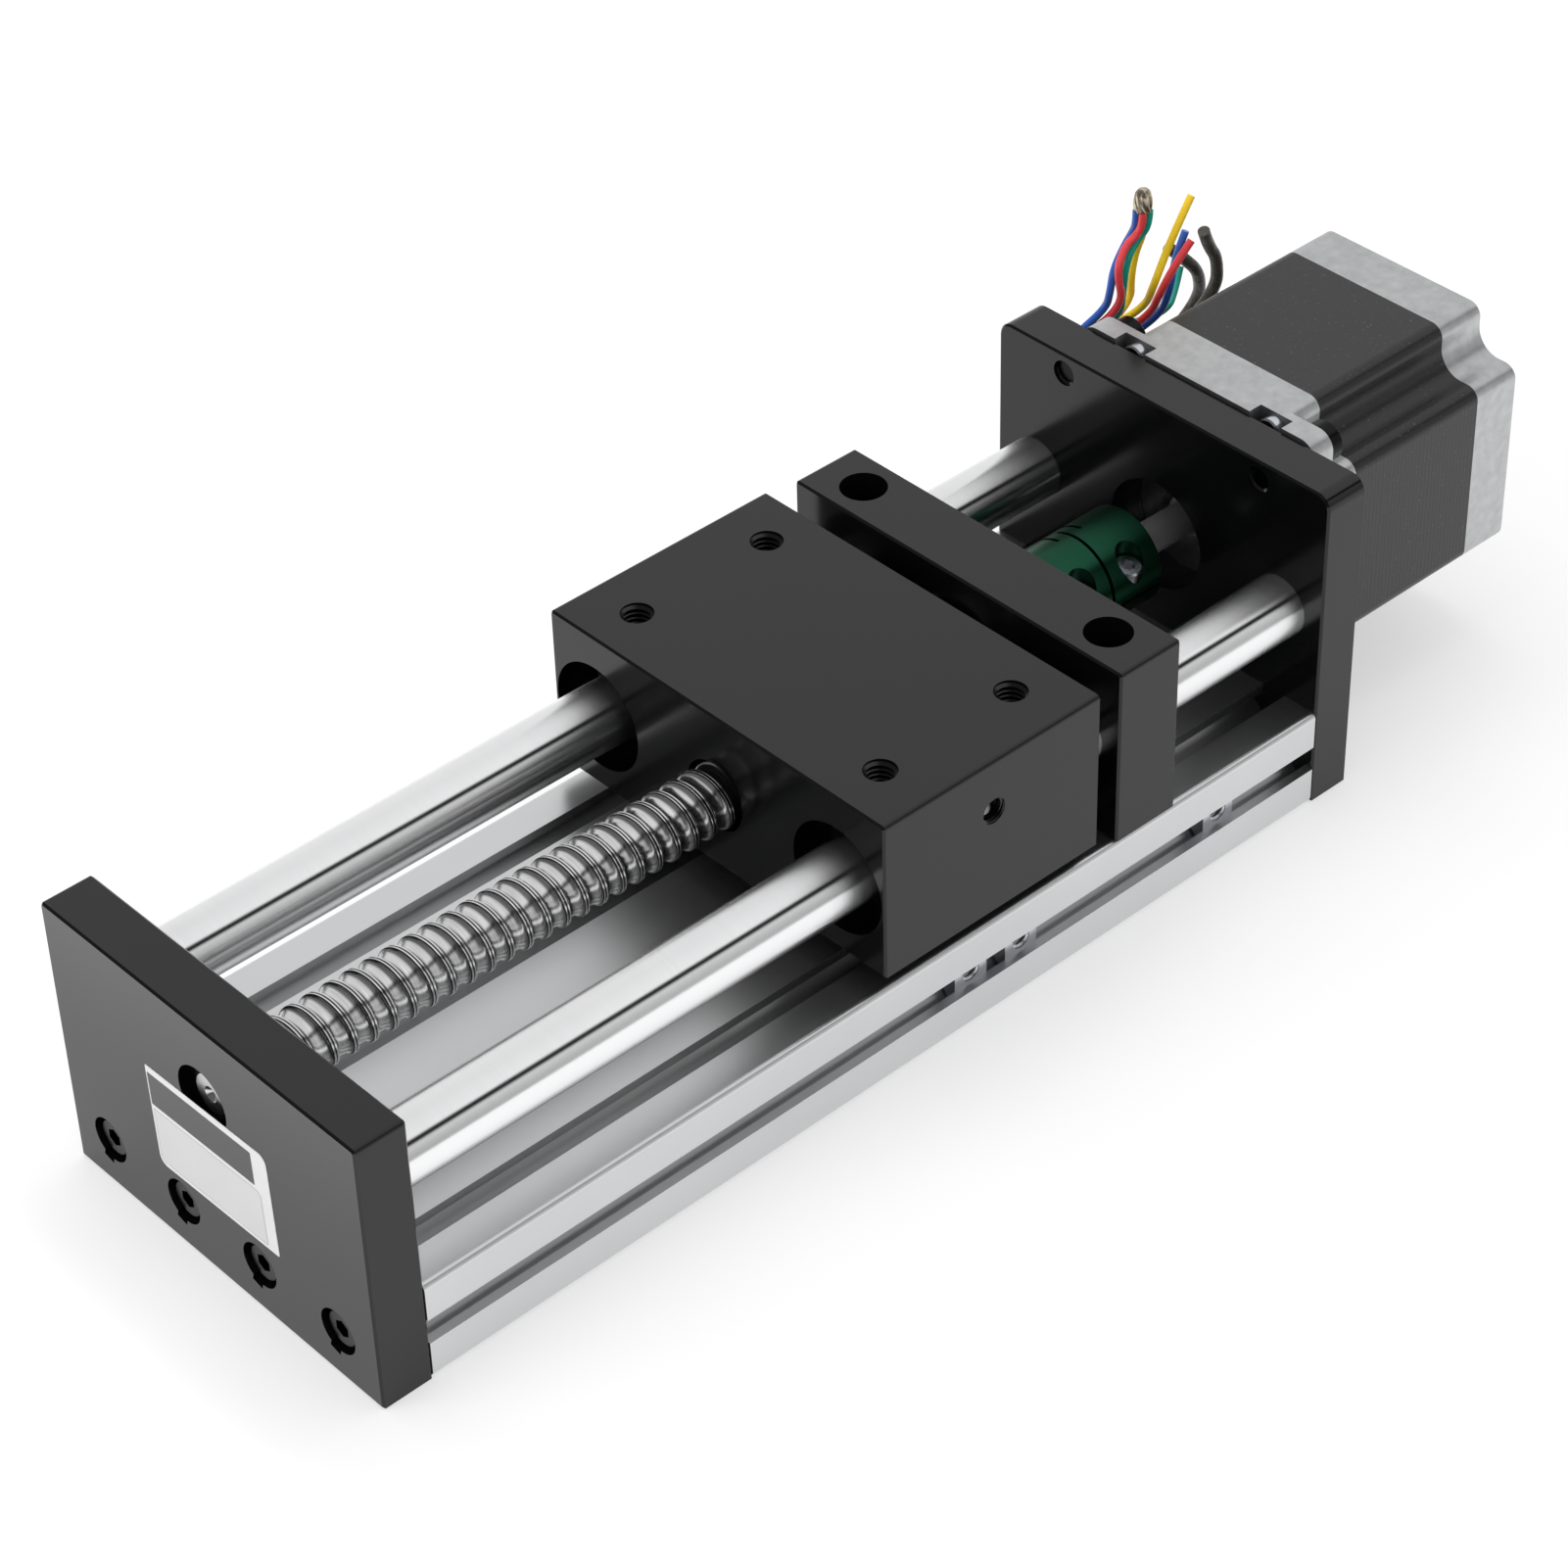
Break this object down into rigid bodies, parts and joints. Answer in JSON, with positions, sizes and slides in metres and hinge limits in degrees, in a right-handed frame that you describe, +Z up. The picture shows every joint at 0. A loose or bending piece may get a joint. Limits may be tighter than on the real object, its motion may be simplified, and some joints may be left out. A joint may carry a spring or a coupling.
{
  "type": "double shaft linear module",
  "caption": "Motor-driven linear module: ball screw and two round guide shafts over a slotted base profile, with a carriage between end plates.",
  "frame": {"origin": "middle of the whole module, on the surface the base profile and front plate stand on", "axes": "+X along the module towards the motor, +Y to the left seen from the front plate, +Z up"},
  "size_m": [0.2784, 0.0864, 0.0856],
  "materials": {
    "bearing_steel": "polished bearing steel",
    "black_plate": "black anodised, fine matt",
    "black_screw": "black oxide, socket heads",
    "cast_motor_end": "die cast, machined edges",
    "green_coupling": "green anodised, satin",
    "grommet_plastic": "moulded, matt",
    "ground_screw": "ground bearing steel",
    "lead_blue": "PVC insulation",
    "lead_green": "PVC insulation",
    "lead_red": "PVC insulation",
    "lead_sleeve": "heat-shrink sleeve",
    "lead_yellow": "PVC insulation",
    "natural_profile": "natural anodised, satin",
    "polished_shaft": "hard chromed and ground",
    "rotor_steel": "ground rotor and shaft",
    "seal_rubber": "matt",
    "spring_steel": "oiled spring steel",
    "stack_steel": "laminated steel, black lacquer",
    "tinned_end": "soldered strands",
    "winding_copper": "enamelled copper wire",
    "zinc_nut": "bright zinc plated"
  },
  "bodies": {
    "base": {"base_profile": "natural_profile", "front_plate": "black_plate", "front_plate_screws": "black_screw", "motor_plate": "black_plate", "motor_plate_screws": "black_screw", "guide_shaft_left": "polished_shaft", "guide_shaft_right": "polished_shaft", "bearing_block": "black_plate", "bearing_block_screws": "black_screw", "shaft_lock_screws": "black_screw", "slot_nuts": "zinc_nut", "support_bearing_outer": "bearing_steel", "fixed_bearing_outers": "bearing_steel", "motor_front_flange": "cast_motor_end", "motor_stack": "stack_steel", "motor_windings": "winding_copper", "motor_rear_bell": "cast_motor_end", "motor_bearing_outers": "bearing_steel", "motor_bolts": "black_screw", "motor_case_screws": "zinc_nut", "lead_grommet": "grommet_plastic", "lead_left_blue": "lead_blue", "lead_left_green": "lead_green", "lead_left_red": "lead_red", "lead_left_yellow": "lead_yellow", "lead_right_blue": "lead_blue", "lead_right_green": "lead_green", "lead_right_red": "lead_red", "lead_right_yellow": "lead_yellow", "sleeve_long": "lead_sleeve", "sleeve_short": "lead_sleeve", "soldered_tip": "tinned_end"},
    "carriage": {"carriage_block": "black_plate", "linear_bearing_left": "bearing_steel", "linear_bearing_right": "bearing_steel", "linear_bearing_seals": "seal_rubber", "circlips": "spring_steel", "ball_nut": "bearing_steel", "nut_screws": "black_screw"},
    "screw": {"ball_screw": "ground_screw", "support_bearing_inner": "bearing_steel", "fixed_bearing_inners": "bearing_steel", "lock_nut": "black_screw", "coupling_body": "green_coupling", "coupling_screws": "black_screw", "motor_bearing_inners": "bearing_steel", "motor_rotor": "rotor_steel"}
  },
  "joints": [
    {"name": "screw_spin", "type": "hinge", "parent": "base", "child": "screw", "pos_m": [0, 0, 0.039], "axis": [1, 0, 0], "range_deg": [-46, 8600]},
    {"name": "carriage_slide", "type": "slide", "parent": "base", "child": "carriage", "axis": [1, 0, 0], "range_m": [-0.0955, 0.0005]}
  ],
  "couplings": [
    {"joint": "screw_spin", "follows": "carriage_slide", "rad_per_m": -1570.8}
  ]
}
